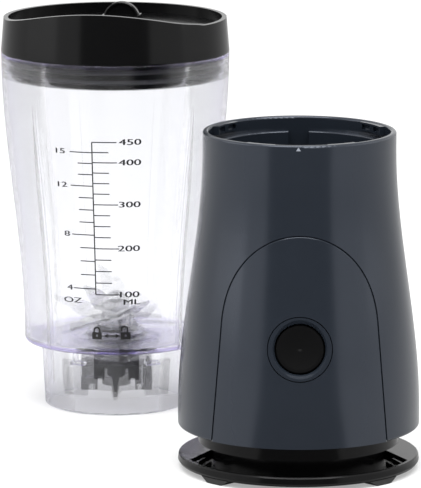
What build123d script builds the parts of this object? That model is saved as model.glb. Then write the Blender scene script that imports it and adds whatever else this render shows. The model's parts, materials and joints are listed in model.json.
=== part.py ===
from build123d import *
import os
from math import atan, cos, degrees, hypot, radians, sin, sqrt

# Personal blender: a round motor base, and a clear jar with a sip lid standing beside it.
# Millimetres, +Z up. The origin is the middle of the base, on the table; the front faces -Y.
# The jar stands on its own skirt, behind the base and to the left. Docked, it sits upside up
# on the rim of the base, with its skirt in the cup well and its coupling on the drive coupling.

# ---- Driving dimensions -------------------------------------------------------------------

# Motor base: radii, and heights above the table.
RIM_R, RIM_Z = 40.3, 142.6          # top rim, where the jar's shoulder sits
BELLY_R, HOUSING_Z = 50.6, 18.2     # widest radius, and the lower edge of the housing
CURVE_TOP, CURVE_LOW = 135.1, 25.7  # the S-shaped side runs between these heights
WALL = 2.5
PANEL_SKIN = 1.3                    # outer layer of the wall, where the front panel overlaps
PANEL_GAP = 0.3
PANEL_LIP, PANEL_EDGE = 2.2, 0.45

DISC_LOW, DISC_TOP = 2.3, 6.2       # foot disc
NECK_R, STEP_R, STEP_Z = 36.0, 42.0, 11.3
FOOT_IN, FOOT_OUT = 41.0, 50.0      # rubber feet, under the rim of the disc
FOOT_AT, FOOT_HALF, SOLE_HALF = 45.5, 7.8, 4.0
CORNER = 38.0                       # direction of the screw towers, from the X axis
TOWER_AT, MOUNT_AT = 27.0, 30.5     # radius of the base screws and of the motor mounts
INLET_Z, INLET_R, CORD_R = 30.0, 5.5, 3.4

# Front arch, seen from the front.
ARCH_TOP, ARCH_SPRING = 105.7, 68.0
ARCH_HALF, ARCH_FOOT = 32.4, 36.6

# Start button, on the side of the housing.
BUTTON_Z = 59.5
BEZEL_R, BEZEL_IN, CAP_R = 13.15, 10.45, 9.85

# Cup well in the top of the base.
LEDGE_Z, WELL_R, WELL_WALL = 136.7, 33.9, 2.2
GUIDE_LOW, RELIEF = 128.5, 0.4      # the well guides the jar above this height, and is wider below
WELL_FLOOR, WELL_UNDER = 111.0, 108.5
SLOT_W = 8.7
LUG_R, LUG_LOW, LUG_TOP = 35.5, 138.6, 142.2
LUG_DIRECTIONS = (31.5, 148.5, -116.5, -62.0)
LUG_SPANS = (25.0, 25.0, 20.0, 20.0)
PIN_LOW, PIN_TOP = 112.0, 129.0     # interlock pin

# Motor.
SHAFT_R, SHAFT_TOP = 4.0, 120.0
FIT = 0.04                          # radial running clearance of the shafts
CORE_LOW, CORE_TOP = 62.0, 90.0
STATOR_X, STATOR_Y, BORE_R = 29.0, 25.0, 17.5
ARMATURE_R, COMMUTATOR_R = 16.9, 10.0
BOLT_X = 24.5
BRACKET_LOW, BRACKET_TOP = 36.0, 104.5
PLATE = 4.0

# Jar: radii, and heights above its own standing edge.
JAR_X, JAR_Y = -80.0, 126.0
JAR_R, JAR_H = 50.3, 157.9
SHOULDER_R, SHOULDER_Z, JAR_FLOOR = 40.6, 28.6, 31.2
JAR_WALL = 2.2
SKIRT_TOP_R, SKIRT_LOW_R, SKIRT_WALL = 33.2, 31.7, 2.0
FLUTE_DEPTH, FLUTE_TOP = 1.0, 139.0
RIB_DIRECTIONS = (-147.0, -67.0, 33.0, 113.0)

# Blade unit.
PIN_R = 3.0
BLADE_LOW, BLADE_HIGH, BLADE_T = 38.0, 41.0, 1.2
COUPLING_R, COUPLING_LOW, COUPLING_TOP = 15.8, 5.0, 20.5

# Lid, in the jar's heights.
LID_LOW = JAR_H + 0.05
LID_TOP, LIP_RISE, LIP_HALF = 172.9, 6.9, 74.0
LID_TOP_R, LID_WALL = 49.1, 2.0
DECK_LOW, DECK_TOP = 166.4, 168.5
PLUG_R, PLUG_LOW = 45.8, 146.9
LID_TURN = -9.0
HINGE_Y, HINGE_Z = 26.0, 170.7
KNUCKLE, EAR_IN, EAR_OUT = 3.1, 3.4, 5.4
FIN_R, FIN_Y, FIN_SINK = 8.2, 16.0, 2.4
SIP_Y = -35.0
GASKET_Z = (149.2, 153.4)


# ---- Helpers ------------------------------------------------------------------------------

def block(x0, x1, y0, y1, z0, z1):
    """Box between two corners."""
    middle = Pos((x0 + x1) / 2, (y0 + y1) / 2, (z0 + z1) / 2)
    return middle * Box(x1 - x0, y1 - y0, z1 - z0)


def rod(radius, z0, z1, x=0.0, y=0.0):
    """Upright cylinder between two heights."""
    return Pos(x, y, (z0 + z1) / 2) * Cylinder(radius, z1 - z0)


def tube(outer, inner, z0, z1, x=0.0, y=0.0):
    """Upright tube between two heights."""
    return rod(outer, z0, z1, x, y) - rod(inner, z0 - 1, z1 + 1, x, y)


def turned(*outline):
    """Solid of revolution about Z, from (radius, height) corners."""
    corners = [(radius, 0, height) for radius, height in outline]
    return revolve(make_face(Polyline(*corners, close=True)), Axis.Z)


def sector(inner, outer, z0, z1, middle, span):
    """Piece of a ring, centred on a direction in degrees from +X."""
    corners = [(inner, 0, z0), (outer, 0, z0), (outer, 0, z1), (inner, 0, z1)]
    face = make_face(Polyline(*corners, close=True))
    return Rot(0, 0, middle - span / 2) * revolve(face, Axis.Z, span)


def turn(part, angle):
    """The part turned about the Z axis."""
    return Rot(0, 0, angle) * part


def all_round(part, count, start=0.0):
    """Equally spaced copies about the Z axis."""
    return Part() + [turn(part, start + 360 * i / count) for i in range(count)]


def corners(part):
    """Copies of a part drawn on +X, at the four screw directions."""
    return Part() + [turn(part, a) for a in (CORNER, 180 - CORNER, 180 + CORNER, -CORNER)]


def mirrored(part):
    """A part and its copy on the other side of the YZ plane."""
    return Part() + [part, mirror(part, Plane.YZ)]


def coil(radius, wire, z0, z1, turns):
    """Open helical spring about Z."""
    path = Helix((z1 - z0) / turns, z1 - z0, radius)
    section = Plane(origin=path @ 0, z_dir=path % 0) * Circle(wire)
    return Pos(0, 0, z0) * sweep(section, path=path)


# ---- Motor base: casing -------------------------------------------------------------------

def side_radius(height):
    """Outer radius of the housing at a height on its S-shaped side."""
    u = (CURVE_TOP - height) / (CURVE_TOP - CURVE_LOW)
    return RIM_R + (BELLY_R - RIM_R) * (3 * u ** 2 - 2 * u ** 3)


def housing_form(inset, low, high):
    """Solid bounded by the side of the housing, moved inward by inset."""
    rim, belly = RIM_R - inset, BELLY_R - inset
    third = (CURVE_TOP - CURVE_LOW) / 3
    side = Bezier((belly, 0, CURVE_LOW), (belly, 0, CURVE_LOW + third),
                  (rim, 0, CURVE_TOP - third), (rim, 0, CURVE_TOP))
    rest = Polyline((rim, 0, CURVE_TOP), (rim, 0, high), (0, 0, high),
                    (0, 0, low), (belly, 0, low), (belly, 0, CURVE_LOW))
    return revolve(make_face(side.edges() + rest.edges()), Axis.Z)


def arch(grow):
    """Prism of the front arch, from the middle of the base to in front of it."""
    top, half, foot = ARCH_TOP + grow, ARCH_HALF + grow, ARCH_FOOT + grow
    right = Bezier((0, top), (0.48 * half, top), (0.94 * half, top - 13.5), (half, ARCH_SPRING))
    left = mirror(right, Plane.YZ)
    legs = Polyline((half, ARCH_SPRING), (foot, HOUSING_Z - 2), (-foot, HOUSING_Z - 2),
                    (-half, ARCH_SPRING))
    face = make_face(right.edges() + left.edges() + legs.edges())
    return extrude(Plane.XZ * face, 60)


def button_frame():
    """Frame on the surface at the button, with local +Z pointing out of the housing."""
    reach = BELLY_R - RIM_R
    u = (CURVE_TOP - BUTTON_Z) / (CURVE_TOP - CURVE_LOW)
    tilt = atan(6 * u * (1 - u) * reach / (CURVE_TOP - CURVE_LOW))
    origin = (0, -side_radius(BUTTON_Z), BUTTON_Z)
    return Plane(origin=origin, x_dir=(1, 0, 0), z_dir=(0, -cos(tilt), sin(tilt)))


BUTTON = button_frame()


def motor_housing():
    shell = housing_form(0, HOUSING_Z, RIM_Z) - housing_form(WALL, HOUSING_Z - 1, RIM_Z + 1)
    circles = shell.edges().filter_by(GeomType.CIRCLE)
    shell = fillet(circles.filter_by_position(Axis.Z, RIM_Z - 0.1, RIM_Z + 0.1), 1.0)
    foot_edges = shell.edges().filter_by(GeomType.CIRCLE).group_by(Axis.Z)[0]
    shell = fillet(foot_edges.sort_by(SortBy.LENGTH)[-1], 1.2)
    skin = housing_form(-1, HOUSING_Z - 1, RIM_Z) - housing_form(PANEL_SKIN, HOUSING_Z - 2, RIM_Z + 1)
    shell -= skin & arch(0)
    shell -= arch(-PANEL_LIP)
    shell += housing_inside() & housing_form(WALL / 2, HOUSING_Z, RIM_Z - 0.4)
    shell -= corners(rod(1.62, HOUSING_Z, 42, TOWER_AT))
    shell -= corners(rod(1.62, 90, BRACKET_TOP, MOUNT_AT))
    return shell - Pos(0, 50, INLET_Z) * Rot(90, 0, 0) * Cylinder(INLET_R, 20)


def housing_inside():
    """What is moulded on the inside of the housing: lugs, a ledge, screw posts and brackets."""
    inside = tube(RIM_R, RIM_R - WALL - 1.1, LEDGE_Z - 4.4, LEDGE_Z - WELL_WALL)
    inside -= block(-SLOT_W / 2, SLOT_W / 2, WELL_R, RIM_R - WALL, LEDGE_Z - 5, LEDGE_Z)
    for middle, span in zip(LUG_DIRECTIONS, LUG_SPANS):
        lug = sector(LUG_R, RIM_R, LUG_LOW, LUG_TOP, middle, span)
        for side in (-1, 1):
            pocket = middle + side * span / 4
            lug -= sector(LUG_R - 1, LUG_R + 1.1, LUG_LOW + 0.8, LUG_TOP - 0.8, pocket, span / 3)
        inside += lug
    post = rod(4, 22.2, 52, TOWER_AT) + block(TOWER_AT, 52, -1.2, 1.2, 26, 52)
    bracket = rod(4, 92, BRACKET_TOP - 2, MOUNT_AT) + block(MOUNT_AT, 48, -1.5, 1.5, 92, BRACKET_TOP - 2)
    return inside + corners(post) + corners(bracket)


def front_panel():
    skin = housing_form(0, HOUSING_Z, RIM_Z) - housing_form(PANEL_SKIN, HOUSING_Z - 1, RIM_Z + 1)
    lining = housing_form(PANEL_SKIN, HOUSING_Z, RIM_Z) - housing_form(WALL, HOUSING_Z - 1, RIM_Z + 1)
    panel = (skin & arch(-PANEL_GAP)) + (lining & arch(-PANEL_LIP - PANEL_GAP))
    curved = panel.edges().filter_by(GeomType.BSPLINE) + panel.edges().filter_by(GeomType.ELLIPSE)
    panel = chamfer([edge for edge in curved if on_side(edge @ 0.5)], PANEL_EDGE)
    return panel - BUTTON * Cylinder(BEZEL_R + 0.35, 30)


def on_side(point):
    """Whether a point is on the outer surface of the housing."""
    return abs(hypot(point.X, point.Y) - side_radius(max(point.Z, CURVE_LOW))) < 0.1


def cup_well():
    """Collar ledge, wall and floor of the well, with one slot at the back and a shaft hub."""
    outer = WELL_R + WELL_WALL
    well = turned((0, WELL_UNDER), (outer, WELL_UNDER), (outer, LEDGE_Z - WELL_WALL),
                  (RIM_R - WALL - 0.2, LEDGE_Z - WELL_WALL), (RIM_R - WALL - 0.2, LEDGE_Z),
                  (WELL_R, LEDGE_Z), (WELL_R, GUIDE_LOW), (WELL_R + RELIEF, GUIDE_LOW - RELIEF),
                  (WELL_R + RELIEF, WELL_FLOOR), (0, WELL_FLOOR))
    lip = well.edges().filter_by(GeomType.CIRCLE).group_by(Axis.Z)[-1].sort_by(SortBy.LENGTH)[0]
    well = fillet(lip, 0.6)
    well += rod(10.5, WELL_FLOOR, WELL_FLOOR + 3)
    well -= rod(8, WELL_UNDER - 1, WELL_FLOOR + 4)
    well -= block(-SLOT_W / 2, SLOT_W / 2, WELL_R - 1, RIM_R, WELL_UNDER - 1, LEDGE_Z + 1)
    well -= all_round(rod(1.6, WELL_UNDER - 1, WELL_FLOOR + 1, 20), 3, 30)
    return well - corners(rod(1.7, WELL_UNDER - 1, WELL_FLOOR + 1, MOUNT_AT))


def base_plate():
    """Black foot: disc, set-back neck, step under the housing, front pocket, screw towers."""
    lip = 2.8
    plate = turned((0, DISC_LOW), (BELLY_R - 0.8, DISC_LOW), (BELLY_R, DISC_LOW + 1.2),
                   (BELLY_R - 0.3, DISC_TOP - 0.5), (BELLY_R - 0.9, DISC_TOP), (NECK_R, DISC_TOP),
                   (NECK_R, STEP_Z), (STEP_R, STEP_Z), (STEP_R, HOUSING_Z),
                   (BELLY_R - WALL - 0.3, HOUSING_Z), (BELLY_R - WALL - 0.3, HOUSING_Z + lip),
                   (STEP_R - lip, HOUSING_Z + lip), (STEP_R - lip, STEP_Z + lip),
                   (NECK_R - lip, STEP_Z + lip), (NECK_R - lip, DISC_TOP), (0, DISC_TOP))
    plate -= front_pocket()
    plate += pocket_ribs()
    plate += corners(rod(4.4, DISC_TOP - 1, 22, TOWER_AT))
    plate -= corners(rod(1.75, 0, 23, TOWER_AT) + rod(3.3, 0, 8.5, TOWER_AT))
    for x in range(-20, 21, 5):
        reach = sqrt(17 ** 2 - (0.5 * x) ** 2)
        plate -= block(x - 1.1, x + 1.1, -reach, reach, 0, DISC_TOP + 1)
    foot_hole = rod(1.9, 0, 3.6, FOOT_AT)
    return plate - all_round(foot_hole, 4, 45)


def front_pocket():
    """Shallow pocket across the front of the foot disc, with slanted ends."""
    low = DISC_TOP - 2.2
    outline = Polyline((-NECK_R + 0.5, 4), (-45.4, -17.2), (-36, -60), (36, -60), (45.4, -17.2),
                       (NECK_R - 0.5, 4), close=True)
    prism = Pos(0, 0, low) * extrude(make_face(outline), 6)
    return prism & tube(BELLY_R - 2.2, NECK_R, low, DISC_TOP + 1)


def pocket_ribs():
    """Two short ledges at each end of the front pocket."""
    ledge = Part()
    for x, y, length in ((41.2, -13.5, 9.5), (38.6, -20.0, 10.5)):
        ledge += Pos(x, y, DISC_TOP - 1.7) * Rot(0, 0, -68) * Box(length, 0.8, 1.4)
    return mirrored(ledge)


def rubber_feet():
    """Four pads at the rim of the disc, narrower at the sole, each with a stud up into the disc."""
    side = Polyline((-SOLE_HALF, 0), (SOLE_HALF, 0), (FOOT_HALF, DISC_LOW), (-FOOT_HALF, DISC_LOW),
                    close=True)
    pad = extrude(Plane.YZ * make_face(side), BELLY_R) & tube(FOOT_OUT, FOOT_IN, 0, DISC_LOW)
    pad -= rod(1.6, -1, 0.8, FOOT_AT)
    return all_round(pad + rod(1.9, DISC_LOW, 3.5, FOOT_AT), 4, 45)


def base_screws():
    """Four long screws from below, through the towers of the foot into the posts."""
    screw = rod(3.1, 6.3, 8.5, TOWER_AT) + rod(1.6, 8.5, 40, TOWER_AT)
    slots = block(TOWER_AT - 2, TOWER_AT + 2, -0.4, 0.4, 6, 7.2)
    slots += block(TOWER_AT - 0.4, TOWER_AT + 0.4, -2, 2, 6, 7.2)
    return corners(screw - slots)


def cord_grommet():
    """Rubber sleeve that lines the cord's hole at the back of the housing."""
    def ring(radius, y0, y1):
        return Pos(0, (y0 + y1) / 2, INLET_Z) * Rot(90, 0, 0) * Cylinder(radius, y1 - y0)
    outside = ring(8, 46, 52.4) - housing_form(0, HOUSING_Z, RIM_Z)
    inside = ring(7.5, 44.6, 50) & housing_form(WALL, HOUSING_Z, RIM_Z)
    return outside + inside + ring(INLET_R, 44.6, 51) - ring(CORD_R, 40, 56)


# ---- Motor base: start button and switches --------------------------------------------------

def button_bezel():
    """Ring let into the front panel: it follows the housing outside and is dished inside."""
    ring = Pos(0, 0, -2) * (Cylinder(BEZEL_R, 9.6) - Cylinder(BEZEL_IN, 12))
    dish = Pos(0, 0, -1.3) * Cone(BEZEL_IN - 0.1, BEZEL_R - 0.75, 2.6)
    dish += rod(BEZEL_R - 0.75, 0, 6)
    shape = (BUTTON * ring) & housing_form(0.2, HOUSING_Z, RIM_Z)
    return shape - BUTTON * dish


def button_cap():
    """Round cap with a dished face, a flange behind the bezel and a stem to the switch."""
    face, flange, stem = -1.9, -7.1, -13.2
    cap = rod(CAP_R, flange, face)
    cap = chamfer(cap.edges().group_by(Axis.Z)[-1], 0.35)
    cap -= Pos(0, 0, face + 59.4) * Sphere(60)
    cap += rod(11.6, flange - 1.5, flange)
    cap -= tube(CAP_R - 1.6, 4.2, flange - 2, -4)
    return BUTTON * (cap + rod(2.2, stem, face - 1.5))


def button_spring():
    return BUTTON * coil(5.6, 0.4, -13.5, -9.1, 4)


def switch_holder():
    """Bridge across the back of the front panel that carries the power switch."""
    bridge = block(-16.8, 16.8, -5, 5, -15.5, -14)
    bridge += mirrored(block(14.3, 16.8, -5, 5, -15.5, -2))
    bridge += mirrored(block(10.2, 11.8, -3.2, 3.2, -23, -14))
    bridge -= rod(3, -16, -13)
    return (BUTTON * bridge) & housing_form(WALL, HOUSING_Z, RIM_Z)


def power_switch():
    body = block(-10, 10, -3.2, 3.2, -23.6, -15.8) - rod(1.8, -20, -15)
    for x in (-7, 0, 7):
        body += block(x - 1.5, x + 1.5, -0.4, 0.4, -26.4, -23.6)
    return BUTTON * body


def switch_plunger():
    return BUTTON * rod(1.5, -16.9, -13.4)


def interlock_pin():
    """Flat pin in the slot at the back of the well, pushed down when the jar is locked."""
    pin = block(-4, 4, 34.4, 37.0, PIN_LOW, PIN_TOP)
    pin -= block(-3, 3, 36.0, 38.0, PIN_LOW + 3, PIN_TOP - 3)
    return chamfer(pin.edges().group_by(Axis.Z)[-1].filter_by(Axis.X), 0.8)


def interlock_spring():
    spring = coil(1.15, 0.22, 109.3, 111.7, 4)
    return Pos(-2.3, 35.6, 0) * spring + Pos(2.3, 35.6, 0) * spring


def interlock_switch():
    body = block(-9, 9, 31.2, 37.6, 97, 107.5)
    body += block(-4, 4, 34.4, 37.0, 107.5, 109.0)
    return body + block(-6, -3, 34, 34.8, 93, 97) + block(3, 6, 34, 34.8, 93, 97)


# ---- Motor base: motor ----------------------------------------------------------------------

def stator_core():
    """Laminated stack with two poles, coil windows and two bolt holes."""
    core = extrude(Pos(0, 0, CORE_LOW) * RectangleRounded(2 * STATOR_X, 2 * STATOR_Y, 6),
                   CORE_TOP - CORE_LOW)
    core -= rod(BORE_R, CORE_LOW - 1, CORE_TOP + 1)
    window = block(11, 18.6, 13.3, 19.7, CORE_LOW - 1, CORE_TOP + 1)
    core -= mirrored(window) + mirrored(turn(window, 180))
    return core - mirrored(rod(2.15, CORE_LOW - 1, CORE_TOP + 1, BOLT_X))


def field_coils():
    """Two wound coils, one round each pole."""
    overhang = 2.9
    tall, middle = CORE_TOP - CORE_LOW, (CORE_TOP + CORE_LOW) / 2
    ring = RectangleRounded(36.4, tall + 2 * overhang, 2.5) - Rectangle(22.6, tall + 0.6)
    winding = Pos(0, 19.5, middle) * extrude(Plane.XZ * ring, 6)
    return Part() + [winding, turn(winding, 180)]


def lower_bracket():
    """Cross-shaped bracket under the stator with a bearing boss and two pillars."""
    top = BRACKET_LOW + PLATE
    bracket = block(-29, 29, -8, 8, BRACKET_LOW, top) + block(-6, 6, -26, 26, BRACKET_LOW, top)
    bracket += rod(10, BRACKET_LOW - 2, top)
    bracket += mirrored(rod(4, top, CORE_LOW, BOLT_X))
    bracket -= mirrored(rod(2.15, 30, CORE_LOW + 1, BOLT_X))
    return bracket - rod(6.5, 30, top + 1)


def upper_bracket():
    """Bracket between the stator and the cup well, with four ears on the rubber mounts."""
    top = BRACKET_TOP + PLATE
    ear = block(0, MOUNT_AT, -5, 5, BRACKET_TOP, top) + rod(5, BRACKET_TOP, top, MOUNT_AT)
    bracket = rod(14, BRACKET_TOP, top) + corners(ear) + block(-29, 29, -6, 6, BRACKET_TOP, top)
    bracket += rod(10, BRACKET_TOP - 2.5, BRACKET_TOP)
    bracket += mirrored(rod(4, CORE_TOP, BRACKET_TOP, BOLT_X))
    bracket -= mirrored(rod(2.15, CORE_TOP - 1, BRACKET_TOP + 2.5, BOLT_X))
    bracket -= corners(rod(1.75, BRACKET_TOP - 1, top + 1, MOUNT_AT))
    return bracket - rod(6.5, 100, top + 1)


def lower_bush():
    return tube(6.5, SHAFT_R + FIT, BRACKET_LOW - 3, BRACKET_LOW + PLATE + 1)


def upper_bush():
    return tube(6.5, SHAFT_R + FIT, BRACKET_TOP - 2.5, WELL_UNDER + 0.4)


def shaft_seal():
    seal = tube(8, SHAFT_R + FIT, WELL_UNDER + 0.6, WELL_FLOOR + 2.6)
    return seal - tube(6.6, 5.2, WELL_FLOOR, WELL_FLOOR + 3)


def brush_holders():
    """Two channels on the lower bracket that aim the brushes at the commutator."""
    low = BRACKET_LOW + PLATE
    holder = block(-4.6, 4.6, 12, 24.6, low, 54.4)
    holder -= block(-3.05, 3.05, 11, 23.4, 44.95, 53.05)
    holder -= block(-6, 6, 14, 22, low - 1, 43)
    return Part() + [holder, turn(holder, 180)]


def carbon_brushes():
    brush = block(-3, 3, 9, 19.4, 45, 53) - rod(COMMUTATOR_R + 0.05, 40, 60)
    return Part() + [brush, turn(brush, 180)]


def brush_springs():
    spring = Pos(0, 0, 49) * Rot(-90, 0, 0) * coil(2.2, 0.3, 19.7, 23.1, 3.5)
    return Part() + [spring, turn(spring, 180)]


def motor_screws():
    """Two long screws that clamp lower bracket, stator and upper bracket together."""
    screw = rod(2.1, BRACKET_LOW, BRACKET_TOP + 2.4, BOLT_X)
    head = rod(3.8, BRACKET_LOW - 3, BRACKET_LOW, BOLT_X)
    head -= block(BOLT_X - 4, BOLT_X + 4, -0.5, 0.5, 30, BRACKET_LOW - 1.6)
    return mirrored(screw + head)


def mount_screws():
    """Four screws down through the well floor, the bracket and the rubber into the housing."""
    head = rod(3.2, WELL_FLOOR, WELL_FLOOR + 2, MOUNT_AT)
    head -= block(MOUNT_AT - 4, MOUNT_AT + 4, -0.45, 0.45, WELL_FLOOR + 1, WELL_FLOOR + 3)
    return corners(head + rod(1.6, 93.5, WELL_FLOOR, MOUNT_AT))


def motor_mounts():
    return corners(tube(4.4, 1.75, BRACKET_TOP - 2, BRACKET_TOP, MOUNT_AT))


def circuit_board():
    board = block(-13, 13, -26, 26, 12.4, 14.0)
    leg = rod(2, DISC_TOP, 12.4)
    return board + [Pos(x, y, 0) * leg for x in (-10, 10) for y in (-23, 23)]


def board_parts():
    """Suppression capacitor, choke, rectifier and terminal block."""
    capacitor = fillet(block(-11, 7, 6, 14, 14, 26).edges().filter_by(Axis.Z), 1)
    choke = tube(6, 2.4, 14, 20, -5, -14)
    rectifier = block(2, 11, -10, -6.5, 14, 23)
    terminal = block(-10, 10, 17.5, 24.5, 14, 22)
    terminal -= [rod(1.6, 18, 23, x, 21) for x in (-6, 0, 6)]
    return capacitor + choke + rectifier + terminal


def motor_shaft():
    shaft = rod(SHAFT_R, BRACKET_LOW - 5, SHAFT_TOP)
    return chamfer(shaft.edges().filter_by(GeomType.CIRCLE), 0.5)


def armature_core():
    """Laminated rotor core with twelve slots."""
    core = rod(ARMATURE_R, CORE_LOW, CORE_TOP)
    slot = block(8.5, ARMATURE_R - 1.5, -1.6, 1.6, CORE_LOW - 1, CORE_TOP + 1)
    slot += block(ARMATURE_R - 2, ARMATURE_R + 1, -0.7, 0.7, CORE_LOW - 1, CORE_TOP + 1)
    return core - all_round(slot, 12) - rod(SHAFT_R, CORE_LOW - 1, CORE_TOP + 1)


def armature_winding():
    """Copper bars in the slots, joined by end turns above and below the core."""
    bar = block(8.7, ARMATURE_R - 2.1, -1.4, 1.4, CORE_LOW - 0.1, CORE_TOP + 0.1)
    ends = tube(12.5, 5, CORE_TOP + 0.1, CORE_TOP + 2.4) + tube(12.5, 5, CORE_LOW - 3.6, CORE_LOW - 0.1)
    return all_round(bar, 12) + ends


def commutator():
    """Twelve copper bars on a sleeve."""
    ring = tube(COMMUTATOR_R, SHAFT_R, 43.6, 55)
    return ring - all_round(block(COMMUTATOR_R - 1.2, 12, -0.3, 0.3, 40, 56), 12, 15)


def cooling_fan():
    """Hub, back disc and nine blades, above the armature."""
    fan = tube(7, SHAFT_R, 93.6, 101) + tube(19, 6, 99.8, 101)
    blade = Pos(12.8, 0, 97.2) * Rot(0, 0, 25) * Box(12, 1.2, 6)
    return fan + (all_round(blade, 9) & rod(19, 90, 102))


def drive_coupling():
    """Moulded coupling on the shaft: four wedge-shaped teeth that point up."""
    low, seat, top = WELL_FLOOR + 3.4, WELL_FLOOR + 6, 127.0
    tooth = wedge(seat, top, 3.4, 0.8, 7, 14)
    hub = turned((0, low), (9.5, low), (14, seat - 0.6), (14, seat), (6.8, seat + 0.6),
                 (6.2, SHAFT_TOP + 1.5), (0, SHAFT_TOP + 1.5))
    return hub + all_round(tooth, 4, 45) - rod(SHAFT_R, low - 1, SHAFT_TOP)


def wedge(z_wide, z_thin, wide, thin, inner, outer):
    """Radial tooth on +X: wide at one height, thin at the other, round at its outer end."""
    face = make_face(Polyline((-wide, z_wide), (wide, z_wide), (thin, z_thin), (-thin, z_thin),
                              close=True))
    low, high = min(z_wide, z_thin), max(z_wide, z_thin)
    tooth = extrude(Plane.YZ * face, outer + 1) - rod(inner, low - 1, high + 1)
    return tooth & rod(outer, low, high)


# ---- Jar ------------------------------------------------------------------------------------

def jar_radius(height):
    """Outer radius of the jar above its shoulder."""
    t = (height - JAR_FLOOR) / (JAR_H - JAR_FLOOR)
    return SHOULDER_R + (JAR_R - SHOULDER_R) * (3 * t ** 2 - 2 * t ** 3)


def jar_form(inset, low, high):
    """Solid bounded by the side of the jar, moved inward by inset."""
    foot, rim = SHOULDER_R - inset, JAR_R - inset
    third = (JAR_H - JAR_FLOOR) / 3
    side = Bezier((foot, 0, JAR_FLOOR), (foot, 0, JAR_FLOOR + third),
                  (rim, 0, JAR_H - third), (rim, 0, JAR_H))
    ends = [(rim, 0, JAR_H), (rim, 0, high), (0, 0, high), (0, 0, low), (foot, 0, low)]
    if low < JAR_FLOOR:
        ends.append((foot, 0, JAR_FLOOR))
    if high == JAR_H:
        ends.pop(0)
    return revolve(make_face(side.edges() + Polyline(*ends).edges()), Axis.Z)


def flute_path(inset, depth):
    """Line of a flute on the +X side: it sinks in gradually below its pointed top."""
    points = []
    for height in (FLUTE_TOP + 3, 128, 116, 100, 82, 64, 48, 36):
        sink = depth * min(1.0, (FLUTE_TOP - height) / 34)
        points.append((jar_radius(height) - inset - sink, 0, height))
    points.append((points[-1][0] - 0.1, 0, SHOULDER_Z - 1))
    return Spline(*points)


def vee(path, half, deep):
    """Triangular bar along a path, with its point on the path and its back facing outward."""
    plane = Plane(origin=path @ 0, x_dir=(0, 1, 0), z_dir=path % 0)
    face = make_face(Polyline((0, 0), (half, deep), (-half, deep), close=True))
    return sweep(plane * face, path=path)


def jar_vessel():
    """Clear fluted jar: wall, floor, shoulder and standing skirt in one moulding."""
    jar = jar_form(0, SHOULDER_Z, JAR_H)
    corner = jar.edges().filter_by(GeomType.CIRCLE).group_by(Axis.Z)[0]
    jar = fillet(corner, 1.8)
    jar -= jar_form(JAR_WALL, JAR_FLOOR, JAR_H + 1)
    rim = jar.edges().filter_by(GeomType.CIRCLE).group_by(Axis.Z)[-1]
    jar = fillet(rim, 0.6)
    ridge = vee(flute_path(JAR_WALL, 1.3), 2.6, 2.0) & jar_form(JAR_WALL / 2, JAR_FLOOR - 1, JAR_H - 10)
    jar += all_round(ridge, 4, 45)
    jar -= all_round(vee(flute_path(0, FLUTE_DEPTH), 5.2, 4.0), 4, 45)
    jar += jar_skirt()
    return standing(jar - rod(8.3, 20, 40))


def jar_skirt():
    """Tapered skirt that stands on the table, with ribs, a pad and four bayonet hooks."""
    slope = (SKIRT_TOP_R - SKIRT_LOW_R) / SHOULDER_Z
    skirt = turned((SKIRT_LOW_R, 0.5), (SKIRT_TOP_R, SHOULDER_Z), (SKIRT_TOP_R - SKIRT_WALL, SHOULDER_Z),
                   (SKIRT_LOW_R - SKIRT_WALL, 0.5), (SKIRT_LOW_R - SKIRT_WALL + 0.5, 0),
                   (SKIRT_LOW_R - 0.5, 0))
    for direction in RIB_DIRECTIONS:
        top, low = SHOULDER_Z, 11.0
        face = make_face(Polyline((SKIRT_TOP_R - 1, top), (SKIRT_TOP_R + 0.2, top),
                                  (SKIRT_TOP_R + 0.2, low + 3), (SKIRT_LOW_R + slope * low - 0.2, low),
                                  close=True))
        skirt += turn(Pos(0, 0.8, 0) * extrude(Plane.XZ * face, 1.6), direction)
    for direction in LUG_DIRECTIONS:
        skirt += sector(SKIRT_TOP_R - 1, 37.0, 22.9, 24.4, direction, 10)
        skirt += sector(SKIRT_TOP_R - 1, 35.2, 24.4, SHOULDER_Z, direction - 3.5, 3)
    return skirt + sector(SKIRT_TOP_R - 1, SKIRT_TOP_R + 0.25, 17.5, 26.5, -102.6, 27)


def standing(part):
    """Moves a part from the jar's own frame to where the jar stands."""
    return Pos(JAR_X, JAR_Y, 0) * part


# ---- Blade unit -----------------------------------------------------------------------------

def bearing_housing():
    """Metal sleeve through the jar floor, with a flange above and a thread below."""
    sleeve = turned((5, 21.5), (8, 21.5), (8, JAR_FLOOR + 0.8), (12.5, JAR_FLOOR + 0.8),
                    (12.5, JAR_FLOOR + 2.2), (9, JAR_FLOOR + 4.2), (5, JAR_FLOOR + 4.2))
    return standing(sleeve)


def blade_bushes():
    top = JAR_FLOOR + 4.2
    return standing(tube(5, PIN_R + FIT, 21.8, 26.5) + tube(5, PIN_R + FIT, top - 5, top - 0.2))


def floor_seal():
    return standing(tube(12.0, 8.02, JAR_FLOOR, JAR_FLOOR + 0.8))


def floor_nut():
    """Flanged hex nut that clamps the blade unit to the jar floor from below."""
    nut = extrude(Pos(0, 0, 24) * RegularPolygon(12, 6), 3.2) + rod(14, 27.2, SHOULDER_Z)
    return standing(nut - rod(8.0, 20, 30))


def blade_shaft():
    shaft = rod(PIN_R, 9, 47.5)
    return standing(chamfer(shaft.edges().filter_by(GeomType.CIRCLE), 0.4))


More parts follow.
